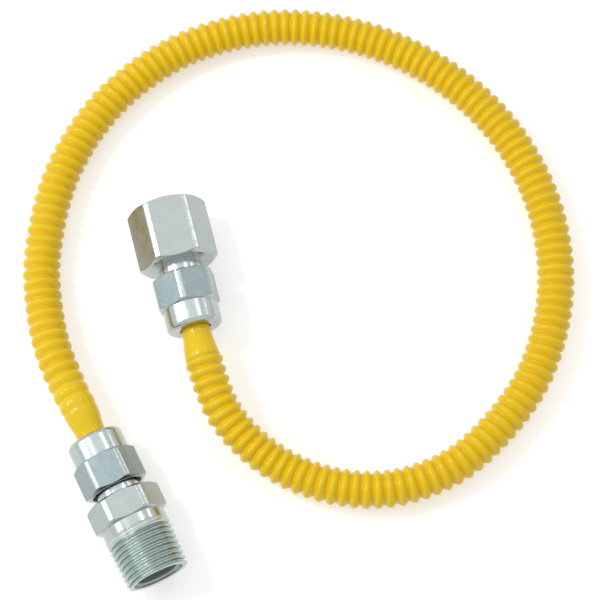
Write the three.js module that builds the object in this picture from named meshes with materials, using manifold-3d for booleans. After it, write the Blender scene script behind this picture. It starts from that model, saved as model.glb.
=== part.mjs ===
// Flexible gas connector: a coated, ring-corrugated steel hose that lies in an open loop on a flat surface.
// A captive flare nut at each end holds a hexagon pipe adapter, one with a male thread and one with a socket.
// Millimetres, +Z up, with the surface at Z = 0.

import * as THREE from 'three';
import { mergeVertices } from 'three/addons/utils/BufferGeometryUtils.js';
import Module from 'manifold-3d';

// Clearances
const seatGap = 0.3; // between faces that seat on each other
const threadGap = 0.3; // between the stub and the nut's bore, both at mid thread

// Hose
const hoseLength = 533.4; // along the centre line from flare to flare
const crestRadius = 6.35;
const rootRadius = 5.15;
const boreRadius = 4.6;
const convolutionPitch = 3.55;
const cuffRadius = 4.7; // plain end of the tube behind the flare
const cuffBoreRadius = 4.05;
const cuffEndRadius = 5.65; // where the cuff has swollen into the first convolution
const cuffShown = 10; // plain length that shows behind the nut
const cuffStraight = 1; // part of it before the cuff starts to swell
const flareRadius = 6.2; // outer rim of the 45 degree flare
const flareBoreRadius = 5.65;
const maleFade = 4; // convolutions that grow to full depth at the male end
const femaleFade = 1;
const riseLength = 55; // over which the hose leaves the surface for each fitting's axis
const hoseSides = 14;
const boreStep = 9; // between sections of the smooth bore

// Flare nuts
const nutFlats = 19.05;
const nutTurnedRadius = 10.5; // hexagon corners are turned down to this
const nutHexLength = 10.9;
const nutCollarLength = 7.5;
const nutCollarRadius = 9;
const nutRound = 1.5; // rounded rear edge of the collar
const nutMouthRadius = 8.3;
const nutMouthDepth = 0.6;
const nutSeatDepth = 11.2; // from the nut's mouth to the flare's rim
const maleNutTurn = 3; // degrees from flat side up
const femaleNutTurn = 21.5;

// Flare stub, the same on both adapters
const stubRadius = 7.5;
const stubBoreRadius = 4;
const neckRadius = 7.1; // plain relief between the thread and the hexagon
const neckHidden = 1.2; // relief inside the nut

// Male adapter
const maleNeckShown = 3; // between the nut's mouth and the hexagon
const maleFlats = 22.2;
const maleTurnedRadius = 12.15;
const maleHexLength = 8.6;
const shoulderRadius = 10.4;
const shoulderLength = 3.1;
const pipeEndRadius = 10.2; // pipe thread's crest at its small end
const pipeThreadLength = 16.3;
const pipeThreadDepth = 1.3;
const pipePitch = 25.4 / 14; // 14 turns an inch
const pipeRunOut = 3.2; // length over which the thread fades out towards the shoulder
const pipeTaper = 1 / 32; // growth of the radius along a pipe thread
const pipeEndChamfer = 0.4;
const maleBoreRadius = 6.5;
const maleMouthRadius = 8.05;
const maleMouthDepth = 1.3;

// Female adapter
const femaleNeckShown = 3.8;
const femaleFlats = 23.8;
const femaleTurnedRadius = 13;
const femaleHexLength = 20.5;
const socketRadius = 9.85; // at the mouth
const socketDepth = 14.5;
const socketReliefRadius = 8.6;
const socketReliefLength = 2;
const socketLead = 0.75;

// Edges and cones
const drillSlope = 0.6; // length over radius of the cone that a drill leaves
const faceInset = 0.3; // from the flats to the circle where each chamfer starts
const chamferSlope = Math.tan(THREE.MathUtils.degToRad(30));
const hexSides = 6;
const overcut = 1; // that a cutter runs past a face
const roundSides = 32;
const threadSides = 24;
const roundSteps = 3; // facets of a rounded edge

// The plan below is drawn for a hose of this length, and grows with the hose
const drawnLength = 533.4;
const planPoint = ([x, y]) => new THREE.Vector2(x, y).multiplyScalar(hoseLength / drawnLength);

// Where each flare's rim lies in plan, and the way each fitting points, in degrees from +X
const maleSeat = planPoint([-20.64, -17.08]);
const maleHeading = -78.3;
const femaleSeat = planPoint([17.8, 24.0]);
const femaleHeading = 90;

// Plan of the free hose from the male end's cuff to the female end's
const freeRoute = [
  [-26.2, 8.4],
  [-28.4, 23.6],
  [-27.9, 39.4],
  [-25.1, 54.6],
  [-12.3, 82.1],
  [9.0, 103.5],
  [36.7, 115.6],
  [66.9, 116.3],
  [95.3, 105.6],
  [118.4, 86.0],
  [133.8, 60.0],
  [139.3, 30.2],
  [134.0, 0.4],
  [118.3, -25.4],
  [93.8, -43.2],
  [79.4, -47.6],
  [64.3, -47.9],
  [49.7, -43.5],
  [37.0, -35.4],
  [26.6, -24.4],
  [20.0, -11.5],
].map(planPoint);

const wasm = await Module();
wasm.setup();

const coated = new THREE.MeshStandardMaterial({ color: 0xe6c21e, roughness: 0.32, metalness: 0 });
const plated = new THREE.MeshStandardMaterial({ color: 0xc4cccb, roughness: 0.3, metalness: 0.9 });

// Distances along a fitting's axis, outwards from the flare's rim
const nutMouth = nutSeatDepth;
const nutHexStart = nutMouth - nutHexLength;
const nutRear = nutHexStart - nutCollarLength;
const neckStart = nutMouth - neckHidden;
const maleHexStart = nutMouth + maleNeckShown;
const maleHexEnd = maleHexStart + maleHexLength;
const threadStart = maleHexEnd + shoulderLength;
const maleEnd = threadStart + pipeThreadLength;
const femaleHexStart = nutMouth + femaleNeckShown;
const femaleEnd = femaleHexStart + femaleHexLength;
const cuffLength = cuffShown - nutRear; // from the flare's rim to the first convolution
const diagonalGap = seatGap * Math.SQRT2; // a gap square to a 45 degree cone, measured along the axis

// A closed triangle mesh as a solid for joins and cuts
function solidOf(geometry) {
  geometry.deleteAttribute('normal');
  geometry.deleteAttribute('uv');
  const merged = mergeVertices(geometry);
  const index = merged.index.array;
  const triangles = [];
  for (let i = 0; i < index.length; i += 3) {
    const [a, b, c] = index.subarray(i, i + 3);
    if (a !== b && b !== c && c !== a) triangles.push(a, b, c);
  }
  return new wasm.Manifold(new wasm.Mesh({
    numProp: 3,
    vertProperties: new Float32Array(merged.attributes.position.array),
    triVerts: new Uint32Array(triangles),
  }));
}

// A named piece from a finished solid
function pieceOf(name, solid, material) {
  const mesh = solid.getMesh();
  const geometry = new THREE.BufferGeometry();
  geometry.setAttribute('position', new THREE.BufferAttribute(mesh.vertProperties, 3));
  geometry.setIndex(new THREE.BufferAttribute(mesh.triVerts, 1));
  geometry.computeVertexNormals();
  const piece = new THREE.Mesh(geometry, material);
  piece.name = name;
  return piece;
}

// A turned solid about the fitting's axis, from [radius, distance] pairs
function turned(profile) {
  const points = profile.map(([radius, along]) => new THREE.Vector2(radius, along));
  return solidOf(new THREE.LatheGeometry(points, roundSides).rotateX(Math.PI / 2));
}

// A hexagon bar with its corners turned down and both ends chamfered
function hexagon(flats, turnedRadius, from, to, turn) {
  const faceRadius = flats / 2 - faceInset;
  const chamfer = (turnedRadius - faceRadius) * chamferSlope;
  const cornerRadius = flats / 2 / Math.cos(Math.PI / hexSides);
  const bar = new THREE.CylinderGeometry(cornerRadius, cornerRadius, to - from, hexSides);
  bar.rotateX(Math.PI / 2);
  bar.rotateZ(Math.PI / hexSides + THREE.MathUtils.degToRad(turn));
  bar.translate(0, 0, (from + to) / 2);
  const blank = turned([
    [0, from],
    [faceRadius, from],
    [turnedRadius, from + chamfer],
    [turnedRadius, to - chamfer],
    [faceRadius, to],
    [0, to],
  ]);
  return solidOf(bar).intersect(blank);
}

// Flare nut: hexagon, round collar, threaded bore, cone that pulls the flare up, and hole for the cuff
function flareNut(name, turn) {
  const holeRadius = cuffRadius + seatGap;
  const nutBoreRadius = stubRadius + threadGap;
  const coneAt = (radius) => radius - flareRadius - diagonalGap;
  const collar = [[0, nutRear], [nutCollarRadius - nutRound, nutRear]];
  for (let step = 1; step <= roundSteps; step += 1) {
    const angle = (step / roundSteps) * (Math.PI / 2);
    const radius = nutCollarRadius - nutRound + nutRound * Math.sin(angle);
    collar.push([radius, nutRear + nutRound - nutRound * Math.cos(angle)]);
  }
  collar.push([nutCollarRadius, nutHexStart + nutMouthDepth], [0, nutHexStart + nutMouthDepth]);
  const bore = turned([
    [0, nutRear - overcut],
    [holeRadius, nutRear - overcut],
    [holeRadius, coneAt(holeRadius)],
    [nutBoreRadius, coneAt(nutBoreRadius)],
    [nutBoreRadius, nutMouth - nutMouthDepth],
    [nutMouthRadius, nutMouth],
    [nutMouthRadius, nutMouth + overcut],
    [0, nutMouth + overcut],
  ]);
  const body = hexagon(nutFlats, nutTurnedRadius, nutHexStart, nutMouth, turn).add(turned(collar));
  return pieceOf(name, body.subtract(bore), plated);
}

// Flare stub with its 45 degree nose cone, thread and relief neck, up to a given distance
function flareStub(to) {
  const noseAt = (radius) => radius - flareBoreRadius + diagonalGap;
  return turned([
    [0, noseAt(stubBoreRadius)],
    [stubBoreRadius, noseAt(stubBoreRadius)],
    [stubRadius, noseAt(stubRadius)],
    [stubRadius, neckStart - (stubRadius - neckRadius)],
    [neckRadius, neckStart],
    [neckRadius, to],
    [0, to],
  ]);
}

// Passage through an adapter: the stub's bore, the drill's cone, then the wider bore given from there outwards
function passage(coneEnd, wideBore) {
  const wideRadius = wideBore[0][0];
  return turned([
    [0, nutRear],
    [stubBoreRadius, nutRear],
    [stubBoreRadius, coneEnd - (wideRadius - stubBoreRadius) * drillSlope],
    [wideRadius, coneEnd],
    ...wideBore,
    [0, wideBore[wideBore.length - 1][1]],
  ]);
}

// A right-hand thread with a solid core: a crest line and a root line climb side by side round the axis
function threadedCore(pitch, from, to, crestAt, rootAt) {
  const steps = Math.ceil((to - from) / pitch) * threadSides;
  const places = [];
  const addLine = (lineFrom, stepCount, radiusAt) => {
    const first = places.length / 3;
    for (let step = 0; step <= stepCount; step += 1) {
      const turn = step / threadSides;
      const along = lineFrom + turn * pitch;
      const angle = 2 * Math.PI * turn;
      places.push(radiusAt(along) * Math.cos(angle), radiusAt(along) * Math.sin(angle), along);
    }
    return first;
  };
  const crest = addLine(from, steps + threadSides, crestAt);
  const root = addLine(from + pitch / 2, steps, rootAt);
  const triangles = [];
  const addFlank = (low, high) => {
    for (let step = 0; step < steps; step += 1) {
      triangles.push(low + step, low + step + 1, high + step + 1, low + step, high + step + 1, high + step);
    }
  };
  addFlank(crest, root);
  addFlank(root, crest + threadSides);
  const closeEnd = (step, along, facingBack) => {
    const tip = places.length / 3;
    places.push(0, 0, along);
    const rim = [root + step];
    for (let i = 0; i <= threadSides; i += 1) rim.push(crest + step + i);
    rim.forEach((corner, i) => {
      const following = rim[(i + 1) % rim.length];
      triangles.push(tip, ...(facingBack ? [following, corner] : [corner, following]));
    });
  };
  closeEnd(0, from, true);
  closeEnd(steps, from + (steps / threadSides + 1) * pitch, false);
  const geometry = new THREE.BufferGeometry();
  geometry.setAttribute('position', new THREE.Float32BufferAttribute(places, 3));
  geometry.setIndex(triangles);
  return solidOf(geometry);
}

// Shoulder and taper pipe thread in one piece, from inside the hexagon to the chamfered end
function pipeTail(from) {
  const crestAt = (along) => pipeEndRadius + pipeTaper * (maleEnd - along);
  const rootAt = (along) => {
    const grown = THREE.MathUtils.clamp((along - threadStart) / pipeRunOut, 0, 1);
    return crestAt(along) - pipeThreadDepth * grown;
  };
  const endRadius = pipeEndRadius - pipeEndChamfer;
  const blankRadius = crestAt(threadStart) + overcut;
  const blank = turned([
    [0, from],
    [shoulderRadius, from],
    [shoulderRadius, threadStart],
    [blankRadius, threadStart],
    [blankRadius, maleEnd - (blankRadius - endRadius)],
    [endRadius, maleEnd],
    [0, maleEnd],
  ]);
  return threadedCore(pipePitch, from - pipePitch, maleEnd, crestAt, rootAt).intersect(blank);
}

function maleAdapter() {
  const hexMiddle = (maleHexStart + maleHexEnd) / 2;
  const bore = passage(maleHexStart, [
    [maleBoreRadius, maleEnd - maleMouthDepth],
    [maleMouthRadius, maleEnd - maleMouthDepth],
    [maleMouthRadius, maleEnd + overcut],
  ]);
  const hex = hexagon(maleFlats, maleTurnedRadius, maleHexStart, maleHexEnd, 0);
  const body = hex.add(flareStub(hexMiddle)).add(pipeTail(hexMiddle));
  return pieceOf('male_adapter', body.subtract(bore), plated);
}

function femaleAdapter() {
  const hexMiddle = (femaleHexStart + femaleEnd) / 2;
  const socketFloor = femaleEnd - socketDepth;
  const bore = passage(socketFloor - socketReliefLength, [
    [socketReliefRadius, socketFloor],
    [socketRadius - pipeTaper * socketDepth, socketFloor],
    [socketRadius - pipeTaper * socketLead, femaleEnd - socketLead],
    [socketRadius + socketLead, femaleEnd],
    [socketRadius + socketLead, femaleEnd + overcut],
  ]);
  const hex = hexagon(femaleFlats, femaleTurnedRadius, femaleHexStart, femaleEnd, 0);
  return pieceOf('female_adapter', hex.add(flareStub(hexMiddle)).subtract(bore), plated);
}

// Places a fitting's group: its axis runs level along the heading, at half the hexagon's flats above the surface
function fitting(seat, heading, height, pieces) {
  const angle = THREE.MathUtils.degToRad(heading);
  const outwards = new THREE.Vector3(Math.cos(angle), Math.sin(angle), 0);
  const up = new THREE.Vector3(0, 0, 1);
  const group = new THREE.Group();
  group.add(...pieces);
  const basis = new THREE.Matrix4().makeBasis(new THREE.Vector3().crossVectors(up, outwards), up, outwards);
  group.setRotationFromMatrix(basis);
  group.position.set(seat.x, seat.y, height);
  return group;
}

// The straight plan points of one end, from the flare's rim to the end of the cuff
function endRun(seat, heading) {
  const angle = THREE.MathUtils.degToRad(heading);
  const inwards = new THREE.Vector2(-Math.cos(angle), -Math.sin(angle));
  return [0, cuffLength / 2, cuffLength].map((along) => seat.clone().addScaledVector(inwards, along));
}

// Centre line of the hose: a smooth plan, level at each fitting's height and resting on the surface between
class HoseRoute extends THREE.Curve {
  constructor() {
    super();
    const ends = [endRun(maleSeat, maleHeading), endRun(femaleSeat, femaleHeading).reverse()];
    const plan = [...ends[0], ...freeRoute, ...ends[1]];
    this.plan = new THREE.CatmullRomCurve3(plan.map((point) => new THREE.Vector3(point.x, point.y, 0)));
    this.plan.arcLengthDivisions = 4000;
    this.length = this.plan.getLength();
  }

  heightAt(along) {
    const lift = (axisHeight, fromEnd) => {
      const rise = THREE.MathUtils.smootherstep(fromEnd, cuffLength, cuffLength + riseLength);
      return (axisHeight - crestRadius) * (1 - rise);
    };
    return crestRadius + lift(maleFlats / 2, along) + lift(femaleFlats / 2, this.length - along);
  }

  getPoint(t, target = new THREE.Vector3()) {
    this.plan.getPointAt(t, target);
    target.z = this.heightAt(t * this.length);
    return target;
  }
}

// Outer outline of the hose as [radius, distance] pairs from the male flare to the female one
function hoseOutside(length) {
  const count = Math.round((length - 2 * cuffLength) / convolutionPitch);
  const pitch = (length - 2 * cuffLength) / count;
  const flareLength = flareRadius - cuffRadius;
  const end = [[flareRadius, 0], [cuffRadius, flareLength], [cuffRadius, cuffStraight - nutRear]];
  const outline = [...end, [cuffEndRadius, cuffLength]];
  for (let i = 0; i < count; i += 1) {
    const growth = Math.min(1, (i + 1) / maleFade, (count - i) / femaleFade);
    const grown = (radius) => cuffEndRadius + (radius - cuffEndRadius) * growth;
    outline.push([grown(crestRadius), cuffLength + (i + 0.5) * pitch]);
    if (i < count - 1) outline.push([grown(rootRadius), cuffLength + (i + 1) * pitch]);
  }
  const mirrored = end.map(([radius, along]) => [radius, length - along]).reverse();
  return [...outline, [cuffEndRadius, length - cuffLength], ...mirrored];
}

// Smooth bore of the hose, from the female flare back to the male one
function hoseInside(length) {
  const flareLength = flareBoreRadius - cuffBoreRadius;
  const end = [[flareBoreRadius, 0], [cuffBoreRadius, flareLength], [cuffBoreRadius, cuffStraight - nutRear]];
  const count = Math.round((length - 2 * cuffLength) / boreStep);
  const middle = [];
  for (let i = 0; i <= count; i += 1) {
    middle.push([boreRadius, cuffLength + ((length - 2 * cuffLength) * i) / count]);
  }
  const mirrored = end.map(([radius, along]) => [radius, length - along]);
  return [...mirrored, ...middle.reverse(), ...end.reverse()];
}

// The hose is turned straight from its closed outline, then every ring is carried to its place on the route
function hose() {
  const route = new HoseRoute();
  const outline = [...hoseOutside(route.length), ...hoseInside(route.length)];
  outline.push(outline[0]);
  const points = outline.map(([radius, along]) => new THREE.Vector2(radius, along));
  const geometry = new THREE.LatheGeometry(points, hoseSides);
  const position = geometry.attributes.position;
  const vertex = new THREE.Vector3();
  const centre = new THREE.Vector3();
  const side = new THREE.Vector3();
  const raised = new THREE.Vector3();
  for (let i = 0; i < position.count; i += 1) {
    vertex.fromBufferAttribute(position, i);
    const t = THREE.MathUtils.clamp(vertex.y / route.length, 0, 1);
    const tangent = route.getTangent(t);
    side.set(tangent.y, -tangent.x, 0).normalize();
    raised.crossVectors(side, tangent);
    route.getPoint(t, centre).addScaledVector(side, vertex.x).addScaledVector(raised, vertex.z);
    position.setXYZ(i, centre.x, centre.y, centre.z);
  }
  return pieceOf('hose', solidOf(geometry), coated);
}

const maleNut = flareNut('male_nut', maleNutTurn);
const femaleNut = flareNut('female_nut', femaleNutTurn);

const connector = new THREE.Group();
connector.add(
  hose(),
  fitting(maleSeat, maleHeading, maleFlats / 2, [maleNut, maleAdapter()]),
  fitting(femaleSeat, femaleHeading, femaleFlats / 2, [femaleNut, femaleAdapter()]),
);

export default connector;
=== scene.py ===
"""Dresses a coated, ring-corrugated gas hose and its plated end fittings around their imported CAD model."""

import math
from functools import partial

import bmesh
import bpy
from bpy.props import FloatProperty, FloatVectorProperty, IntProperty, PointerProperty
from mathutils import Matrix, Vector


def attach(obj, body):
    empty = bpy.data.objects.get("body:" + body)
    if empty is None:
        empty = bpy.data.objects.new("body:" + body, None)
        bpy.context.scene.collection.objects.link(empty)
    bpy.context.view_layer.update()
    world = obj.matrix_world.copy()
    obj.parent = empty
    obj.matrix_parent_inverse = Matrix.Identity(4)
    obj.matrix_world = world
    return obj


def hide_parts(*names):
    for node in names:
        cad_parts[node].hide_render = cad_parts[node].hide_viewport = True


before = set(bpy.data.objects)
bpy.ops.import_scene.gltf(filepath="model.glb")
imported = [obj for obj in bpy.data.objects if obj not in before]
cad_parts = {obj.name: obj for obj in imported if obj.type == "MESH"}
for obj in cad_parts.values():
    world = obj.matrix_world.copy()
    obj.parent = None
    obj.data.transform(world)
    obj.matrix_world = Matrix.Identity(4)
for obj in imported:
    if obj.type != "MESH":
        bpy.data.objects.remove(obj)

bl_info = {
    "name": "Flexible Gas Hose",
    "version": (1, 0, 0),
    "blender": (4, 5, 0),
    "location": "View3D > Sidebar > Gas Hose",
    "description": "Makes the corrugated hose, its flare nuts, its pipe adapters and a plain studio",
    "category": "Add Mesh",
}

MM = 0.001

# Where each flare's rim lies in plan, its fitting's heading, and the height of its axis, in millimetres
MALE_SEAT, MALE_HEADING, MALE_HEIGHT = (-20.64, -17.08), -78.3, 11.1
FEMALE_SEAT, FEMALE_HEADING, FEMALE_HEIGHT = (17.8, 24.0), 90.0, 11.9

# Plan of the free hose from the male end's cuff to the female end's, in millimetres
FREE_ROUTE = (
    (-26.2, 8.4), (-28.4, 23.6), (-27.9, 39.4), (-25.1, 54.6), (-12.3, 82.1), (9.0, 103.5), (36.7, 115.6),
    (66.9, 116.3), (95.3, 105.6), (118.4, 86.0), (133.8, 60.0), (139.3, 30.2), (134.0, 0.4), (118.3, -25.4),
    (93.8, -43.2), (79.4, -47.6), (64.3, -47.9), (49.7, -43.5), (37.0, -35.4), (26.6, -24.4), (20.0, -11.5),
)
ROUTE_STEP = 1.0  # millimetres between the points that the hose follows
REST_HEIGHT = 6.35  # millimetres from the surface to the centre line where the hose lies on it
RISE_LENGTH = 55.0  # millimetres over which the hose leaves the surface for a fitting

# Distances along a fitting's axis, outwards from the flare's rim, in millimetres
NUT_REAR, NUT_HEX_START, NUT_RELIEF_END, NUT_THREAD_START, NUT_MOUTH = -7.2, 0.3, 2.3, 2.6, 11.2
STUB_THREAD_START, NECK_START = 1.5, 10.0
MALE_HEX_START, MALE_HEX_END, PIPE_THREAD_START, MALE_END = 14.2, 22.8, 25.9, 42.04
FEMALE_HEX_START, FEMALE_END = 15.0, 35.5

# Cones at 45 degrees start this far inside their own radius: the adapters' noses and the nuts' seats
NOSE_OFFSET, SEAT_OFFSET = 5.226, 6.624

# Lengths of the hollows, in millimetres
NUT_SINK_DEPTH, PIPE_SINK_DEPTH, SOCKET_DEPTH, SOCKET_RELIEF_DEPTH = 1.6, 0.9, 14.5, 2.0
DRILL_POINT = 0.6  # length of a drill's point for each millimetre of its radius

# Small sizes of the threads, in millimetres
ROOT_SINK = 0.05  # how far the stub's thread is cut below its neck
NUT_GAP = 0.17  # between the stub's thread and the nut's
BLANK_EXTRA = 0.03  # what the stub's blank has over its thread's crest
RELIEF_EXTRA = 0.02  # what the nut's relief has over its thread's root
PIPE_STEP, PIPE_CHAMFER = 0.3, 0.4  # slopes before the male pipe thread and at its small end
PIPE_CREST_LIFT = 0.01  # what its crest has over its blank
PIPE_MARGIN, SOCKET_MARGIN = 0.05, 0.02  # from the end face to the end of each pipe thread
SHORT_RUN_OUT, PIPE_RUN_OUT = 0.05, 3.2  # length over which a thread grows to its full depth

# How finely the pieces are divided
STUB_ROWS, NUT_ROWS, SOCKET_ROWS, PIPE_ROWS = 56, 60, 96, 144  # rows of faces along each thread
HEX_ROWS = 3  # and along a hexagon
ARC_STEPS = 3  # steps in a rounded corner
FLAT_COLUMNS = (-20, -13, -6.5, 0, 6.5, 13, 20)  # degrees from the middle of a flat
EDGE_COLUMNS = (-1.8, -1.0, -0.35, 0.35, 1.0, 1.8)  # degrees from the edge between a flat and a corner
HOSE_STEPS = {"Ring Steps": 12, "Cuff Steps": 34, "Bore Ring Steps": 2, "Bore Cuff Steps": 12, "Sides": 32}
ROUTE_FINENESS = 60  # steps between two points of the plan while the route is measured
PATH_STRIDE = 4  # every fourth point of the route is stated as the hose's path

RIM, RINGS = 0.001, 0.9999  # shares of the cuff's length that end its rim and begin the rings
BORE_WIDENS = 0.8  # share of the cuff's length past which the passage widens
STRETCH_DECAY = 5.0  # how fast the wider spacing at the male end dies away
WELD_DISTANCE = 0.00002  # metres between the rim's points outside and inside, which become one

CHAMFER_SLOPE = math.tan(math.radians(30))
FACE_INSET = 0.3  # a hexagon's end face is this much smaller than its flats, in millimetres
EDGE_SOFTNESS = 0.03  # millimetres over which a flat blends into a turned corner
SUPPORT = 0.12  # millimetres from a rounded corner to the point that keeps the surface beside it plain
MAX_SUPPORT, MAX_ROUNDING = 0.3, 0.42  # the most that each may take of a side
STRAIGHT = math.radians(88)  # half the angle past which a corner is left as a plain point

# The photograph's view, in degrees and millimetres, and the lamps' places in metres
VIEW_TARGET, VIEW_ELEVATION, VIEW_AZIMUTH, VIEW_DISTANCE = (53.2, 19.9, 6.0), 72.3, -14.3, 712
LENS, SENSOR_WIDTH = 131.1, 36.0
LAMP_TARGET = (0.053, 0.02, 0.0)
LAMP_PLACES = {
    "left": (-0.87, 0.22, 0.62), "right": (0.93, 0.41, 0.45), "key": (-0.51, 0.37, 0.92),
    "fill": (0.54, 0.37, 0.92), "top": (-0.05, 0.42, 1.15),
}
WHITE = (1.0, 1.0, 1.0, 1.0)


def amount(name, description, default, **options):
    """A property for a number that can't be negative."""
    return FloatProperty(name=name, description=description, default=default, min=0.0, **options)


def length(name, description, default):
    """A property for a length, given in millimetres."""
    return amount(name, description, default * MM, unit="LENGTH", precision=5)


def share(name, description, default):
    """A property for a number from 0 to 1."""
    return amount(name, description, default, max=1.0, subtype="FACTOR")


def degrees(name, description, default):
    """A property for an angle, given in degrees."""
    return FloatProperty(name=name, description=description, default=math.radians(default), subtype="ANGLE")


def ring_count(name, description, default):
    """A property for a number of rings."""
    return IntProperty(name=name, description=description, default=default, min=1)


def colour(name, description, default):
    """A property for a surface colour, given in linear light."""
    return FloatVectorProperty(name=name, description=description, default=default, size=3,
                               min=0.0, max=1.0, subtype="COLOR")


class HoseSettings(bpy.types.PropertyGroup):
    crest_radius: length("Crest Radius", "Radius over the top of a convolution", 6.19)
    root_radius: length("Root Radius", "Radius at the bottom of a groove", 4.95)
    bore_radius: length("Bore Radius", "Radius of the passage", 4.6)
    cuff_length: length("Cuff Length", "From the flare's rim to the first convolution", 17.2)
    cuff_straight: length("Cuff Straight", "From the flare's rim to where the cuff starts to swell", 8.2)
    cuff_radius: length("Cuff Radius", "Radius of the plain end of the tube", 4.7)
    cuff_end_radius: length("Cuff End Radius", "Radius of the cuff at the first convolution", 5.65)
    cuff_bore_radius: length("Cuff Bore Radius", "Radius of the passage in the cuff", 4.05)
    flare_radius: length("Flare Radius", "Outer rim of the flare", 6.2)
    flare_bore_radius: length("Flare Bore Radius", "Inner rim of the flare", 5.65)
    convolutions: ring_count("Convolutions", "Number of rings along the hose", 141)
    male_fade: ring_count("Male Fade", "Rings that grow to full depth at the male end", 4)
    female_fade: ring_count("Female Fade", "Rings that grow to full depth at the female end", 1)
    crest_fullness: amount("Crest Fullness", "How broad the top of a ring is", 2.2)
    groove_steepness: amount("Groove Steepness", "How steeply a ring falls into its groove", 1.7)
    male_stretch: amount("Male Stretch", "How much further apart the rings stand near the male end", 0.2)
    coat: colour("Coating", "Yellow coating of the hose", (0.96, 0.66, 0.003))
    # The groove colour is painted shade: the coating is drawn darker and warmer deep in the grooves
    groove: colour("Groove", "Coating deep in the grooves, where it lies thicker", (0.90, 0.56, 0.002))
    roughness: share("Roughness", "Roughness of the coating", 0.13)
    shine: share("Shine", "Strength of the coating's reflections", 0.42)


class NutSettings(bpy.types.PropertyGroup):
    flats: length("Across Flats", "Width of the nut's hexagon", 18.95)
    turned_radius: length("Turned Radius", "Radius that the corners are turned down to", 10.5)
    collar_radius: length("Collar Radius", "Radius of the round collar behind the hexagon", 9.0)
    collar_round: length("Collar Round", "Rounding of the collar's rear edge", 1.5)
    hole_radius: length("Hole Radius", "Radius of the hole that the cuff passes through", 5.0)
    mouth_radius: length("Mouth Radius", "Radius of the countersink at the mouth", 8.3)
    male_turn: degrees("Male Turn", "How far the male end's nut is turned from flat side up", 3)
    female_turn: degrees("Female Turn", "How far the female end's nut is turned from flat side up", 21.5)


class AdapterSettings(bpy.types.PropertyGroup):
    male_flats: length("Male Across Flats", "Width of the male adapter's hexagon", 21.95)
    male_turned_radius: length("Male Turned Radius", "Radius that its corners are turned down to", 12.15)
    female_flats: length("Female Across Flats", "Width of the female adapter's hexagon", 23.3)
    female_turned_radius: length("Female Turned Radius", "Radius that its corners are turned down to", 13.0)
    stub_bore_radius: length("Stub Bore Radius", "Radius of the passage through the flare stub", 4.0)
    neck_radius: length("Neck Radius", "Radius of the plain neck between thread and hexagon", 7.1)
    shoulder_radius: length("Shoulder Radius", "Radius of the shoulder behind the male pipe thread", 10.4)
    pipe_end_radius: length("Pipe End Radius", "Crest of the male pipe thread at its small end", 10.2)
    pipe_bore_radius: length("Pipe Bore Radius", "Radius of the passage under the male pipe thread", 6.5)
    pipe_mouth_radius: length("Pipe Mouth Radius", "Radius of the counterbore in its end", 8.2)
    socket_radius: length("Socket Radius", "Crest of the socket's thread at its mouth", 9.25)
    socket_lead_radius: length("Socket Lead Radius", "Radius of the socket's chamfered mouth", 10.6)
    socket_relief_radius: length("Socket Relief Radius", "Radius of the relief behind its thread", 8.6)


class FinishSettings(bpy.types.PropertyGroup):
    nut_plating: colour("Nut Plating", "Bluish zinc on the nuts' flats", (0.27, 0.34, 0.365))
    adapter_plating: colour("Adapter Plating", "Pale zinc on the adapters' flats", (0.40, 0.445, 0.445))
    turned_plating: colour("Turned Plating", "Bright zinc on the turned surfaces", (0.45, 0.50, 0.505))
    tint: colour("Plating Tint", "Faint green-grey bloom of the passivated zinc", (0.35, 0.41, 0.37))
    thread_plating: colour("Thread Plating", "Dull greenish zinc on a thread's sides", (0.55, 0.64, 0.62))
    # Painted shade: the dark colour of the lines drawn down the threads' sides and of the bores
    painted_thread_and_bore_shade: colour("Thread Line", "Dark lines in a thread, and a bore's colour", (0.20, 0.25, 0.22))
    fleck: colour("Fleck", "Bright specks in the zinc", (0.75, 0.78, 0.78))
    line_place: share("Line Place", "How far down a thread's side its dark line runs", 0.62)
    painted_line_shade_strength: share("Line Strength", "How dark that line is", 0.65)
    # Painted shade: how far the bores are drawn in the dark shade colour
    painted_bore_shade: share("Bore Strength", "How dark a bore is", 0.75)
    turned_roughness: share("Turned Roughness", "Roughness of the turned surfaces", 0.19)
    flat_roughness: share("Flat Roughness", "Roughness of the hexagons' flats", 0.3)


class ThreadSettings(bpy.types.PropertyGroup):
    flare_pitch: length("Flare Pitch", "Pitch of the flare thread", 1.4111)
    flare_depth: length("Flare Depth", "Depth of the flare thread", 0.82)
    pipe_pitch: length("Pipe Pitch", "Pitch of the pipe threads", 1.8143)
    pipe_depth: length("Pipe Depth", "Depth of the pipe threads", 1.3)
    pipe_taper: amount("Pipe Taper", "Growth of the radius along a pipe thread", 1 / 32, precision=5)


class StudioSettings(bpy.types.PropertyGroup):
    floor: colour("Floor", "Plain pale floor", (0.86, 0.86, 0.86))
    floor_lift: amount("Floor Lift", "Brightness added to the floor where it is seen", 0.45)
    floor_size: length("Floor Size", "Half the width of the floor", 6000)
    world: colour("Surroundings", "Colour of the plain surroundings", (1.0, 1.0, 1.0))
    world_level: amount("Surroundings Level", "Brightness of the surroundings", 0.53)
    left_power: amount("Left Lamp Power", "Power of the left lamp", 2.1)
    left_size: length("Left Lamp Size", "Width of the left lamp", 500)
    right_power: amount("Right Lamp Power", "Power of the right lamp", 0.16)
    right_size: length("Right Lamp Size", "Width of the right lamp", 160)
    key_power: amount("Key Lamp Power", "Power of the small left lamp that makes glints", 1.9)
    key_size: length("Key Lamp Size", "Width of the small left lamp", 160)
    fill_power: amount("Fill Lamp Power", "Power of the small right lamp that makes glints", 0.35)
    fill_size: length("Fill Lamp Size", "Width of the small right lamp", 160)
    top_power: amount("Top Lamp Power", "Power of the lamp above", 1.65)
    top_size: length("Top Lamp Size", "Width of the lamp above", 1500)


def new_object(name, data):
    """An object with the given data, in the scene."""
    made = bpy.data.objects.new(name, data)
    bpy.context.scene.collection.objects.link(made)
    return made


# Node trees


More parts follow.
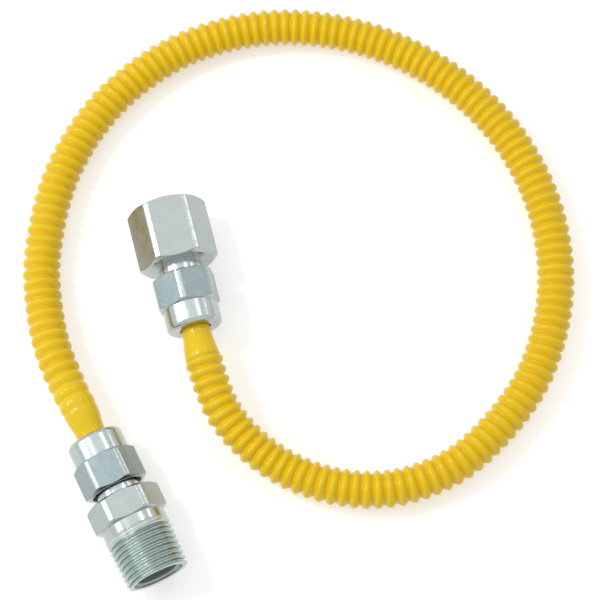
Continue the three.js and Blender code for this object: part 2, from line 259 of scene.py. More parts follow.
def add_node(tree, kind, inputs=(), **settings):
    """Adds a node, sets its properties, and fills its inputs with values or with other nodes' outputs."""
    node = tree.nodes.new(kind)
    for name, value in settings.items():
        setattr(node, name, value)
    for key, value in dict(inputs).items():
        if isinstance(value, bpy.types.NodeSocket):
            tree.links.new(value, node.inputs[key])
        else:
            node.inputs[key].default_value = value
    return node


def math_node(tree, operation, *values, clamp=False):
    """The output of a Math node."""
    node = add_node(tree, "ShaderNodeMath", enumerate(values), operation=operation, use_clamp=clamp)
    return node.outputs[0]


def ranged(tree, value, low, high, to_low=0.0, to_high=1.0, shape="LINEAR"):
    """A value's range mapped to another, and held inside it."""
    return add_node(tree, "ShaderNodeMapRange", {
        "Value": value, "From Min": low, "From Max": high, "To Min": to_low, "To Max": to_high,
    }, interpolation_type=shape).outputs[0]


def mixed(tree, factor, first, second):
    """A mix of two numbers."""
    return add_node(tree, "ShaderNodeMix", {0: factor, 2: first, 3: second}, data_type="FLOAT").outputs[0]


def chosen(tree, condition, off, on):
    """One of two numbers, by a condition of 0 or 1."""
    return add_node(tree, "GeometryNodeSwitch", {"Switch": condition, "False": off, "True": on},
                    input_type="FLOAT").outputs[0]


def stored(tree, geometry, name, value, selection=True):
    """The geometry with a number stored on its points under a name."""
    return add_node(tree, "GeometryNodeStoreNamedAttribute", {
        "Geometry": geometry, "Selection": selection, "Name": name, "Value": value,
    }, data_type="FLOAT", domain="POINT").outputs[0]


def new_tree(name, inputs):
    """An empty geometry tree with named inputs of each kind, its inputs' sockets and its output node."""
    tree = bpy.data.node_groups.new(name, "GeometryNodeTree")
    tree.interface.new_socket("Geometry", in_out="INPUT", socket_type="NodeSocketGeometry")
    for kind, labels in inputs.items():
        for label in labels:
            tree.interface.new_socket(label, in_out="INPUT", socket_type=kind)
    tree.interface.new_socket("Geometry", in_out="OUTPUT", socket_type="NodeSocketGeometry")
    return tree, add_node(tree, "NodeGroupInput").outputs, add_node(tree, "NodeGroupOutput")


def finish_tree(tree, output, geometry, material):
    """Ends a tree: real meshes instead of instances, and the material on them."""
    real = add_node(tree, "GeometryNodeRealizeInstances", {"Geometry": geometry}).outputs[0]
    dressed = add_node(tree, "GeometryNodeSetMaterial", {"Geometry": real, "Material": material}).outputs[0]
    tree.links.new(dressed, output.inputs[0])


def matching(settings, tree):
    """The settings that have the names of the tree's inputs, by input."""
    keys = {item.name: item.name.lower().replace(" ", "_") for item in tree.interface.items_tree}
    return {name: getattr(settings, key) for name, key in keys.items() if hasattr(settings, key)}


def run_tree(source, tree, values):
    """Runs a tree on an object's data and returns the result as a plain mesh. The object is removed."""
    modifier = source.modifiers.new(tree.name, "NODES")
    modifier.node_group = tree
    for item in tree.interface.items_tree:
        if item.in_out == "INPUT" and item.name in values:
            modifier[item.identifier] = values[item.name]
    source.update_tag()
    graph = bpy.context.evaluated_depsgraph_get()
    graph.update()
    mesh = bpy.data.meshes.new_from_object(source.evaluated_get(graph), depsgraph=graph)
    bpy.data.objects.remove(source)
    if not mesh.polygons:
        raise RuntimeError(tree.name + " came out empty")
    return mesh


FLOAT, WHOLE, TOGGLE, MATERIAL = "NodeSocketFloat", "NodeSocketInt", "NodeSocketBool", "NodeSocketMaterial"


def hose_tree():
    """Corrugated tube along a curve: cuffs with flares at both ends and rings between, with its passage."""
    tree, inputs, output = new_tree("Corrugated Hose", {
        FLOAT: ("Crest Radius", "Root Radius", "Bore Radius", "Cuff Length", "Cuff Straight", "Cuff Radius",
                "Cuff End Radius", "Cuff Bore Radius", "Flare Radius", "Flare Bore Radius",
                "Crest Fullness", "Groove Steepness", "Male Stretch"),
        WHOLE: ("Convolutions", "Male Fade", "Female Fade", *HOSE_STEPS),
        MATERIAL: ("Material",),
    })
    calc = partial(math_node, tree)
    total = add_node(tree, "GeometryNodeCurveLength", {"Curve": inputs["Geometry"]}).outputs[0]
    cuff = inputs["Cuff Length"]
    free = calc("SUBTRACT", total, calc("MULTIPLY", cuff, 2.0))
    index = add_node(tree, "GeometryNodeInputIndex").outputs[0]

    def stations(ring_steps, cuff_steps):
        """Points that fall on every groove and crest, their distance along the curve and their ring."""
        rings = calc("MULTIPLY", inputs["Convolutions"], ring_steps)
        count = calc("ADD", calc("ADD", rings, calc("MULTIPLY", cuff_steps, 2.0)), 1.0)
        curve = add_node(tree, "GeometryNodeResampleCurve", {
            "Curve": inputs["Geometry"], "Count": count}).outputs[0]
        beyond = calc("SUBTRACT", index, cuff_steps)
        on_rings = calc("MAXIMUM", calc("MINIMUM", beyond, rings), 0.0)
        first = calc("MINIMUM", index, cuff_steps)
        last = calc("MAXIMUM", calc("SUBTRACT", beyond, rings), 0.0)
        on_cuffs = calc("MULTIPLY", calc("ADD", first, last), calc("DIVIDE", cuff, cuff_steps))
        part = calc("DIVIDE", on_rings, rings)
        stretch_left = calc("POWER", calc("SUBTRACT", 1.0, part), STRETCH_DECAY)
        stretched = calc("MULTIPLY", part, stretch_left)
        shifted = calc("MULTIPLY_ADD", stretched, inputs["Male Stretch"], part)
        along = calc("MULTIPLY_ADD", shifted, free, on_cuffs)
        place = add_node(tree, "GeometryNodeSampleCurve", {"Curves": inputs["Geometry"], "Length": along},
                         mode="LENGTH", use_all_curves=True).outputs["Position"]
        placed = add_node(tree, "GeometryNodeSetPosition", {
            "Geometry": curve, "Position": place}).outputs[0]
        upright = add_node(tree, "GeometryNodeSetCurveNormal", {"Curve": placed}, mode="Z_UP").outputs[0]
        return upright, along, calc("DIVIDE", on_rings, ring_steps)

    def from_end(along):
        """Distance to the nearer end."""
        return calc("MINIMUM", along, calc("SUBTRACT", total, along))

    circle = add_node(tree, "GeometryNodeCurvePrimitiveCircle", {
        "Resolution": inputs["Sides"], "Radius": 1.0}, mode="RADIUS").outputs["Curve"]

    def tube(curve, radius):
        """A round tube along a curve, with the given radius at each point."""
        return add_node(tree, "GeometryNodeCurveToMesh", {
            "Curve": curve, "Profile Curve": circle, "Scale": radius, "Fill Caps": False}).outputs[0]

    # Outside
    curve, along, ring = stations(inputs["Ring Steps"], inputs["Cuff Steps"])
    near = from_end(along)
    phase = calc("FRACT", ring)
    across = calc("ABSOLUTE", calc("MULTIPLY_ADD", phase, 2.0, -1.0))
    fullness = calc("POWER", across, inputs["Crest Fullness"])
    swell = calc("POWER", calc("SUBTRACT", 1.0, fullness, clamp=True), inputs["Groove Steepness"])
    number = calc("FLOOR", ring)
    male_growth = calc("DIVIDE", calc("ADD", number, 1.0), inputs["Male Fade"])
    left = calc("SUBTRACT", inputs["Convolutions"], number)
    female_growth = calc("DIVIDE", left, inputs["Female Fade"])
    growth = calc("MINIMUM", calc("MINIMUM", male_growth, female_growth), 1.0)
    crest = calc("SUBTRACT", 1.0, calc("MULTIPLY", calc("SUBTRACT", 1.0, swell), growth))
    rise = calc("SUBTRACT", inputs["Crest Radius"], inputs["Root Radius"])
    full_radius = calc("MULTIPLY_ADD", swell, rise, inputs["Root Radius"])
    gained = calc("MULTIPLY", calc("SUBTRACT", full_radius, inputs["Cuff End Radius"]), growth)
    ring_radius = calc("ADD", gained, inputs["Cuff End Radius"])
    flare = calc("SUBTRACT", inputs["Flare Radius"], near)
    swelling = ranged(tree, near, inputs["Cuff Straight"], cuff,
                      inputs["Cuff Radius"], inputs["Cuff End Radius"], "SMOOTHSTEP")
    on_rim = calc("LESS_THAN", near, calc("MULTIPLY", cuff, RIM))
    cuff_radius = chosen(tree, on_rim, calc("MAXIMUM", flare, swelling), inputs["Flare Bore Radius"])
    on_cuff = calc("LESS_THAN", near, calc("MULTIPLY", cuff, RINGS))
    radius = chosen(tree, on_cuff, ring_radius, cuff_radius)
    outside = tube(stored(tree, curve, "crest", chosen(tree, on_cuff, crest, 1.0)), radius)

    # Passage
    curve, along, _ = stations(inputs["Bore Ring Steps"], inputs["Bore Cuff Steps"])
    near = from_end(along)
    flare = calc("SUBTRACT", inputs["Flare Bore Radius"], near)
    widening = ranged(tree, near, calc("MULTIPLY", cuff, BORE_WIDENS), cuff,
                      inputs["Cuff Bore Radius"], inputs["Bore Radius"])
    passage = tube(curve, calc("MAXIMUM", flare, widening))
    inside = add_node(tree, "GeometryNodeFlipFaces", {"Mesh": passage}).outputs[0]

    join = add_node(tree, "GeometryNodeJoinGeometry")
    tree.links.new(inside, join.inputs[0])
    tree.links.new(outside, join.inputs[0])
    closed = add_node(tree, "GeometryNodeMergeByDistance", {
        "Geometry": join.outputs[0], "Distance": WELD_DISTANCE})
    smooth = add_node(tree, "GeometryNodeSetShadeSmooth", {"Geometry": closed.outputs[0]}).outputs[0]
    finish_tree(tree, output, smooth, inputs["Material"])
    return tree


def thread_tree():
    """Right-hand thread on a turned surface about the Z axis, cut into it, or into a bore from within."""
    tree, inputs, output = new_tree("Helical Thread", {
        FLOAT: ("Pitch", "Depth", "Low Radius", "Taper", "Start", "End", "Run Out", "Crest Flat"),
        TOGGLE: ("Internal",),
        MATERIAL: ("Material",),
    })
    calc = partial(math_node, tree)
    place = add_node(tree, "GeometryNodeInputPosition").outputs[0]
    split = add_node(tree, "ShaderNodeSeparateXYZ", {"Vector": place}).outputs
    flat = add_node(tree, "ShaderNodeCombineXYZ", {"X": split[0], "Y": split[1]}).outputs[0]
    radius = add_node(tree, "ShaderNodeVectorMath", {"Vector": flat}, operation="LENGTH").outputs["Value"]
    turn = calc("DIVIDE", calc("ARCTAN2", split[1], split[0]), math.tau)
    phase = calc("FRACT", calc("SUBTRACT", calc("DIVIDE", split[2], inputs["Pitch"]), turn))
    across = calc("ABSOLUTE", calc("MULTIPLY_ADD", phase, 2.0, -1.0))
    trimmed = calc("SUBTRACT", across, inputs["Crest Flat"])
    span = calc("SUBTRACT", 1.0, calc("MULTIPLY", inputs["Crest Flat"], 2.0))
    tooth = calc("DIVIDE", trimmed, span, clamp=True)
    from_start = calc("SUBTRACT", split[2], inputs["Start"])
    low = calc("MULTIPLY_ADD", from_start, inputs["Taper"], inputs["Low Radius"])
    weight = calc("DIVIDE", from_start, inputs["Run Out"], clamp=True)
    cut = calc("MULTIPLY", weight, calc("SUBTRACT", 1.0, tooth))
    outer = calc("MULTIPLY_ADD", calc("SUBTRACT", 1.0, cut), inputs["Depth"], low)
    inner = calc("MULTIPLY_ADD", tooth, inputs["Depth"], low)
    new_radius = chosen(tree, inputs["Internal"], calc("MINIMUM", radius, outer),
                        calc("MAXIMUM", radius, inner))
    margin = calc("MULTIPLY", inputs["Depth"], 0.5)
    selected = calc("GREATER_THAN", from_start, 0.0)
    for test in (
        calc("LESS_THAN", split[2], inputs["End"]),
        calc("GREATER_THAN", radius, calc("SUBTRACT", low, margin)),
        calc("LESS_THAN", radius, calc("ADD", low, calc("ADD", inputs["Depth"], margin))),
    ):
        selected = calc("MULTIPLY", selected, test)
    factor = calc("DIVIDE", new_radius, radius)
    moved = add_node(tree, "ShaderNodeVectorMath", {
        "Vector": flat, "Scale": factor}, operation="SCALE").outputs[0]
    along = add_node(tree, "ShaderNodeCombineXYZ", {"Z": split[2]}).outputs[0]
    target = add_node(tree, "ShaderNodeVectorMath", {0: moved, 1: along}, operation="ADD").outputs[0]
    cut_mesh = add_node(tree, "GeometryNodeSetPosition", {
        "Geometry": inputs["Geometry"], "Selection": selected, "Position": target}).outputs[0]
    below = chosen(tree, inputs["Internal"], cut, tooth)
    finish_tree(tree, output, stored(tree, cut_mesh, "cut", below, selected), inputs["Material"])
    return tree


# Materials


def new_material(name):
    """A material and its empty tree."""
    material = bpy.data.materials.new(name)
    material.use_nodes = True
    material.node_tree.nodes.clear()
    return material, material.node_tree


def finish_material(tree, inputs, height, strength, distance):
    """Ends a material's tree with a shader that has the given inputs and a bumpy surface."""
    bump = add_node(tree, "ShaderNodeBump", {"Height": height, "Strength": strength, "Distance": distance})
    shader = add_node(tree, "ShaderNodeBsdfPrincipled", {"Normal": bump.outputs[0], **inputs})
    add_node(tree, "ShaderNodeOutputMaterial", {"Surface": shader.outputs[0]})


def attribute(tree, name, output="Fac"):
    """What is stored on the points under a name."""
    return add_node(tree, "ShaderNodeAttribute", attribute_name=name).outputs[output]


def noise(tree, vector, scale, detail=3.0, roughness=0.5):
    """A noise pattern's value on the given coordinates."""
    return add_node(tree, "ShaderNodeTexNoise", {
        "Vector": vector, "Scale": scale, "Detail": detail, "Roughness": roughness}).outputs[0]


def blended(tree, factor, first, second):
    """A mix of two colours, each given as a colour or as an output."""
    colours = [value if isinstance(value, bpy.types.NodeSocket) else (*value, 1.0)
               for value in (first, second)]
    return add_node(tree, "ShaderNodeMix", {0: factor, 6: colours[0], 7: colours[1]}, data_type="RGBA",
                    clamp_factor=True).outputs[2]


def coating_material(settings):
    """Glossy yellow coating: slightly uneven, with warmer painted shade in the grooves and a faint orange
    peel.
    """
    material, tree = new_material("yellow_coating")
    place = add_node(tree, "ShaderNodeTexCoord").outputs["Object"]
    # Painted shade: the colour turns darker and warmer from the crests down into the grooves
    depth = ranged(tree, attribute(tree, "crest"), 0.0, 0.6, 1.0, 0.0)
    base = blended(tree, depth, settings.coat, settings.groove)
    patches = ranged(tree, noise(tree, place, scale=60.0), 0.35, 0.7)
    warm = tuple(channel * factor for channel, factor in zip(settings.coat, (0.97, 0.93, 1.0)))
    uneven = blended(tree, math_node(tree, "MULTIPLY", patches, 0.5), base, warm)
    gloss = ranged(tree, noise(tree, place, scale=320.0), 0.3, 0.7,
                   settings.roughness - 0.05, settings.roughness + 0.08)
    finish_material(tree, {
        "Base Color": uneven, "Roughness": gloss, "IOR": 1.45, "Specular IOR Level": settings.shine,
    }, height=noise(tree, place, scale=700.0, detail=2.0), strength=0.15, distance=0.0002)
    return material


def plating_material(name, settings, plating):
    """Zinc plating: bright where turned, satin and darker on drawn flats, dull and greenish in threads."""
    material, tree = new_material(name)
    calc = partial(math_node, tree)
    lathe = attribute(tree, "lathe", "Vector")
    drawn, cut, bored = (attribute(tree, label) for label in ("drawn", "cut", "bored"))
    along = add_node(tree, "ShaderNodeSeparateXYZ", {"Vector": lathe}).outputs[2]
    rings = noise(tree, add_node(tree, "ShaderNodeCombineXYZ", {"Z": along}).outputs[0], scale=2600.0)
    stretched = add_node(tree, "ShaderNodeMapping", {"Vector": lathe, "Scale": (1.0, 1.0, 0.08)}).outputs[0]
    streaks = noise(tree, stretched, scale=1800.0, detail=2.0)
    marks = mixed(tree, drawn, rings, streaks)
    base = blended(tree, drawn, settings.turned_plating, plating)
    bloom = ranged(tree, noise(tree, lathe, scale=260.0, detail=4.0, roughness=0.6), 0.4, 0.7, 0.0, 0.35)
    bloomed = blended(tree, bloom, base, settings.tint)
    flecks = ranged(tree, noise(tree, lathe, scale=2400.0, detail=2.0), 0.55, 0.75, 0.0, 0.3)
    flecked = blended(tree, flecks, bloomed, settings.fleck)
    worn = blended(tree, ranged(tree, marks, 0.45, 0.75, 0.0, 0.3), flecked, settings.tint)
    sided = blended(tree, calc("POWER", cut, 0.5), worn, settings.thread_plating)
    # Painted shade: a dark line drawn part way down each thread's side
    from_line = calc("ABSOLUTE", calc("SUBTRACT", cut, settings.line_place))
    line = ranged(tree, from_line, 0.04, 0.27, settings.painted_line_shade_strength, 0.0)
    painted_shade_lined = blended(tree, line, sided, settings.painted_thread_and_bore_shade)
    # Painted shade: the bores drawn darker in the same dark colour
    coloured = blended(tree, calc("MULTIPLY", bored, settings.painted_bore_shade), painted_shade_lined, settings.painted_thread_and_bore_shade)
    smooth = ranged(tree, noise(tree, lathe, scale=420.0), 0.3, 0.75, settings.turned_roughness - 0.04,
                    settings.turned_roughness + 0.1)
    satin = ranged(tree, noise(tree, lathe, scale=300.0), 0.3, 0.75, settings.flat_roughness - 0.05,
                   settings.flat_roughness + 0.08)
    rough = calc("MULTIPLY_ADD", cut, 0.15, mixed(tree, drawn, smooth, satin))
    dents = calc("MULTIPLY_ADD", noise(tree, lathe, scale=500.0, detail=2.0), 2.0, marks)
    finish_material(tree, {
        "Base Color": coloured, "Roughness": calc("MULTIPLY_ADD", bored, 0.4, rough),
        "Metallic": calc("MULTIPLY_ADD", bored, -0.5, 1.0),
    }, height=dents, strength=0.3, distance=0.00003)
    return material


def zinc(settings, kind):
    """The plating of the nuts or of the adapters, made once."""
    name = kind + "_zinc"
    plating = settings.nut_plating if kind == "nut" else settings.adapter_plating
    return bpy.data.materials.get(name) or plating_material(name, settings, plating)


# Turned shapes


def rounded(outline):
    """Rounds a closed outline's corners.

    Each corner is (radius, distance, rounding, steps to the next corner), in millimetres. A corner gives the
    same number of points whatever its place, so the outlines of neighbouring columns always match.
    """
    points = []
    count = len(outline)
    for i, (radius, along, rounding, _) in enumerate(outline):
        corner = Vector((radius, along))
        before = Vector(outline[i - 1][:2]) - corner
        after = Vector(outline[(i + 1) % count][:2]) - corner
        half = before.angle(after) / 2
        if rounding == 0 or half > STRAIGHT:
            points.append([corner])
            continue
        reach = min(rounding / math.tan(half), MAX_ROUNDING * before.length, MAX_ROUNDING * after.length)
        first, last = corner + before.normalized() * reach, corner + after.normalized() * reach
        bulge = reach * math.tan(half)
        centre = corner + (before.normalized() + after.normalized()).normalized() * math.hypot(reach, bulge)
        start, end = first - centre, last - centre
        spread = start.angle_signed(end)
        arc = []
        for step in range(ARC_STEPS + 1):
            turned = start.copy()
            turned.rotate(Matrix.Rotation(-spread * step / ARC_STEPS, 2))
            arc.append(centre + turned)
        outward = [min(SUPPORT, MAX_SUPPORT * (side.length - reach)) for side in (before, after)]
        lead_in, lead_out = before.normalized() * outward[0], after.normalized() * outward[1]
        points.append([first + lead_in, *arc, last + lead_out])
    loop = []
    for i, group in enumerate(points):
        loop.extend(group)
        steps = outline[i][3]
        target = points[(i + 1) % count][0]
        loop.extend(group[-1].lerp(target, step / steps) for step in range(1, steps))
    return loop


def hexagon_columns(flats, turned_radius):
    """The columns' angles in degrees, the hexagon's radius at each and whether it lies on a flat."""
    apothem = flats / 2
    edge = math.degrees(math.acos(apothem / turned_radius))
    angles = [*FLAT_COLUMNS, *(side * edge + off for side in (-1, 1) for off in EDGE_COLUMNS), 30.0]
    columns = []
    for sector in range(6):
        for angle in sorted(angles):
            flat = apothem / math.cos(math.radians(angle))
            gap = math.exp(-flat / EDGE_SOFTNESS + turned_radius / EDGE_SOFTNESS)
            radius = turned_radius - EDGE_SOFTNESS * math.log(gap + 1)
            columns.append((60 * sector + angle, radius, abs(angle) < edge))
    return columns


def lathe_object(name, outline_of, flats, turned_radius, turn, bore_radius=0.0):
    """A closed turned shape about Z, from the outline that the hexagon's radius gives at each column."""
    columns = hexagon_columns(flats, turned_radius)
    rows = [rounded(outline_of(radius)) for _, radius, _ in columns]
    height = len(rows[0])
    places, drawn, bored = [], [], []
    for (angle, radius, on_flat), loop in zip(columns, rows):
        direction = math.radians(90 + angle) + turn
        for point in loop:
            across, up = point.x * math.cos(direction), point.x * math.sin(direction)
            places.append((across * MM, up * MM, point.y * MM))
            drawn.append(1.0 if on_flat and abs(point.x - radius) < SUPPORT else 0.0)
            bored.append(1.0 if point.x < bore_radius + SUPPORT else 0.0)
    faces = []
    for i in range(len(rows)):
        here, beside = i * height, (i + 1) % len(rows) * height
        for j in range(height):
            above = (j + 1) % height
            faces.append((here + j, beside + j, beside + above, here + above))
    mesh = bpy.data.meshes.new(name)
    mesh.from_pydata(places, [], faces)
    editing = bmesh.new()
    editing.from_mesh(mesh)
    bmesh.ops.recalc_face_normals(editing, faces=editing.faces)
    editing.to_mesh(mesh)
    editing.free()
    mesh.shade_smooth()
    lathe = mesh.attributes.new("lathe", "FLOAT_VECTOR", "POINT")
    lathe.data.foreach_set("vector", [value for place in places for value in place])
    for label, values in (("drawn", drawn), ("bored", bored)):
        mesh.attributes.new(label, "FLOAT", "POINT").data.foreach_set("value", values)
    return new_object(name, mesh)


def fitting_matrix(seat, heading, height):
    """From a fitting's own frame, Z outwards along its axis and Y up, to its place."""
    angle = math.radians(heading)
    outwards = Vector((math.cos(angle), math.sin(angle), 0))
    up = Vector((0, 0, 1))
    turned = Matrix((up.cross(outwards), up, outwards)).transposed().to_4x4()
    return Matrix.Translation(Vector((*seat, height)) * MM) @ turned


MALE_PLACE = fitting_matrix(MALE_SEAT, MALE_HEADING, MALE_HEIGHT)
FEMALE_PLACE = fitting_matrix(FEMALE_SEAT, FEMALE_HEADING, FEMALE_HEIGHT)


def cut_threads(shape, cuts, place):
    """Cuts threads into a shape, one for each set of values, and returns its mesh where it belongs."""
    tree = bpy.data.node_groups.get("Helical Thread") or thread_tree()
    for values in cuts:
        mesh = run_tree(shape, tree, values)
        shape = new_object(mesh.name, mesh)
    bpy.data.objects.remove(shape)
    mesh.transform(place)
    mesh.update()
    return mesh


def finish_piece(mesh, name, node):
    """Makes a finished mesh an object at the origin, in the place of a node of the CAD model."""
    piece = new_object(name, mesh)
    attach(piece, node + "_body")
    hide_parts(node)


def stub_outline(adapters, threads, hex_start):
    """The flare stub from its nose to the hexagon's face."""
    bore, neck = adapters.stub_bore_radius / MM, adapters.neck_radius / MM
    crest = neck - ROOT_SINK + threads.flare_depth / MM + BLANK_EXTRA
    return [
        (bore, bore - NOSE_OFFSET, 0.2, 1),
        (crest, crest - NOSE_OFFSET, 0.15, STUB_ROWS),
        (crest, NECK_START - (crest - neck), 0.1, 1),
        (neck, NECK_START, 0.3, 3),
        (neck, hex_start, 0.12, 1),
    ]


def flare_thread(adapters, threads, material, internal):
    """Values of the flare thread, in the stub or in the nut that fits it."""
    gap, end = (NUT_GAP, NUT_MOUTH) if internal else (0.0, NECK_START)
    return {
        "Pitch": threads.flare_pitch, "Depth": threads.flare_depth, "Taper": 0.0, "Crest Flat": 0.08,
        "Low Radius": adapters.neck_radius + (gap - ROOT_SINK) * MM, "Run Out": SHORT_RUN_OUT * MM,
        "Internal": internal, "Start": STUB_THREAD_START * MM, "End": end * MM, "Material": material,
    }


def hexagon_run(flats, radius, start, end):
    """The hexagon's side with a chamfer at each end."""
    face = flats / 2 - FACE_INSET
    rise = (radius - face) * CHAMFER_SLOPE
    return [
        (face, start, 0.1, 1), (radius, start + rise, 0.2, HEX_ROWS),
        (radius, end - rise, 0.2, 1), (face, end, 0.1, 1),
    ]


# Operators


class HOSE_OT_camera(bpy.types.Operator):
    """Places the camera at the photograph's viewing angle"""

    bl_idname = "gas_hose.camera"
    bl_label = "Camera"

    def execute(self, context):
        elevation, azimuth = math.radians(VIEW_ELEVATION), math.radians(VIEW_AZIMUTH)
        back = Vector((math.sin(azimuth) * math.cos(elevation), -math.cos(azimuth) * math.cos(elevation),
                       math.sin(elevation)))
        lens = bpy.data.cameras.new("camera")
        lens.sensor_width = SENSOR_WIDTH
        lens.lens = LENS
        lens.clip_start, lens.clip_end = 0.01, 100.0
        camera = new_object("camera", lens)
        camera.location = (Vector(VIEW_TARGET) + back * VIEW_DISTANCE) * MM
        camera.rotation_mode = "QUATERNION"
        camera.rotation_quaternion = (-back).to_track_quat("-Z", "Y")
        context.scene.camera = camera
        return {"FINISHED"}


def spline_point(points, segment, weight):
    """A point of the centripetal Catmull-Rom curve through the given plan points."""
    first, second = points[segment], points[segment + 1]
    before = points[segment - 1] if segment else first * 2 - second
    after = points[segment + 2] if segment + 2 < len(points) else second * 2 - first
    gaps = [math.sqrt((b - a).length) for a, b in ((before, first), (first, second), (second, after))]
    leave = (first - before) / gaps[0] - (second - before) / (gaps[0] + gaps[1]) + (second - first) / gaps[1]
    reach = (second - first) / gaps[1] - (after - first) / (gaps[1] + gaps[2]) + (after - second) / gaps[2]
    leave, reach = leave * gaps[1], reach * gaps[1]
    bend = (second - first) * 3 - leave * 2 - reach
    twist = (first - second) * 2 + leave + reach
    return first + leave * weight + bend * weight**2 + twist * weight**3


def eased(part):
    """A rise from 0 to 1 that starts and ends level."""
    return part**3 * (part * (part * 6 - 15) + 10)


def hose_route(cuff):
    """Points of the hose's centre line from the male flare's rim to the female one's, in metres."""
    ends = []
    for seat, heading in ((MALE_SEAT, MALE_HEADING), (FEMALE_SEAT, FEMALE_HEADING)):
        angle = math.radians(heading)
        inwards = Vector((-math.cos(angle), -math.sin(angle)))
        ends.append([Vector(seat) + inwards * cuff * part for part in (0.0, 0.5, 1.0)])
    plan = [*ends[0], *(Vector(point) for point in FREE_ROUTE), *reversed(ends[1])]
    dense = []
    for segment in range(len(plan) - 1):
        dense.extend(spline_point(plan, segment, i / ROUTE_FINENESS) for i in range(ROUTE_FINENESS))
    dense.append(plan[-1])
    reached = [0.0]
    for a, b in zip(dense, dense[1:]):
        reached.append(reached[-1] + (b - a).length)
    total = reached[-1]
    count = round(total / ROUTE_STEP)
    route, at = [], 0
    for i in range(count + 1):
        along = total * i / count
        while at < len(dense) - 2 and reached[at + 1] < along:
            at += 1
        point = dense[at].lerp(dense[at + 1], (along - reached[at]) / (reached[at + 1] - reached[at]))
        height = REST_HEIGHT
        for axis, from_end in ((MALE_HEIGHT, along), (FEMALE_HEIGHT, total - along)):
            part = min(max((from_end - cuff) / RISE_LENGTH, 0.0), 1.0)
            height += (axis - REST_HEIGHT) * (1 - eased(part))
        route.append(Vector((point.x, point.y, height)) * MM)
    return route


class HOSE_OT_hose(bpy.types.Operator):
    """Makes the corrugated hose along its route with Geometry Nodes"""

    bl_idname = "gas_hose.hose"
    bl_label = "Hose"

    def execute(self, context):
        settings = context.scene.gas_hose
        route = hose_route(settings.cuff_length / MM)
        curve = bpy.data.curves.new("hose_route", "CURVE")
        curve.dimensions = "3D"
        spline = curve.splines.new("POLY")
        spline.points.add(len(route) - 1)
        for point, place in zip(spline.points, route):
            point.co = (*place, 1.0)
        tree = hose_tree()
        mesh = run_tree(new_object("hose_route", curve), tree, {
            **matching(settings, tree), **HOSE_STEPS, "Material": coating_material(settings)})
        finish_piece(mesh, "gas_hose", "hose")
        context.scene["hose_length"] = sum((b - a).length for a, b in zip(route, route[1:]))
        stated = (*route[::PATH_STRIDE], route[-1])
        context.scene["hose_path"] = [value for place in stated for value in place]
        return {"FINISHED"}


class HOSE_OT_nuts(bpy.types.Operator):
    """Makes the flare nut of each end, with the thread that draws it on to the adapter"""

    bl_idname = "gas_hose.nuts"
    bl_label = "Flare Nuts"

    def execute(self, context):
        scene = context.scene
        nuts, adapters, threads = scene.gas_nuts, scene.gas_adapters, scene.gas_threads
        material = zinc(scene.gas_finish, "nut")
        flats, turned_radius = nuts.flats / MM, nuts.turned_radius / MM
        hole, mouth = nuts.hole_radius / MM, nuts.mouth_radius / MM
        minor = adapters.neck_radius / MM - ROOT_SINK + NUT_GAP
        relief = minor + threads.flare_depth / MM + RELIEF_EXTRA
        sink = NUT_MOUTH - NUT_SINK_DEPTH
        collar = nuts.collar_radius / MM

        def outline(radius):
            return [
                (hole, NUT_REAR, 0.3, 1),
                (collar, NUT_REAR, nuts.collar_round / MM, 2),
                (collar, NUT_HEX_START, 0.12, 1),
                *hexagon_run(flats, radius, NUT_HEX_START, NUT_MOUTH),
                (mouth, NUT_MOUTH, 0.15, 2),
                (mouth, sink, 0.1, 2),
                (minor, sink - (mouth - minor), 0.0, NUT_ROWS),
                (minor, NUT_THREAD_START, 0.0, 1),
                (relief, NUT_RELIEF_END, 0.0, 1),
                (relief, relief - SEAT_OFFSET, 0.1, 1),
                (hole, hole - SEAT_OFFSET, 0.2, 1),
            ]

        for name, place, turn in (
            ("male_nut", MALE_PLACE, nuts.male_turn),
            ("female_nut", FEMALE_PLACE, nuts.female_turn),
        ):
            blank = lathe_object(name, outline, flats, turned_radius, turn)
            mesh = cut_threads(blank, [flare_thread(adapters, threads, material, True)], place)
            finish_piece(mesh, "flare_" + name, name)
        return {"FINISHED"}


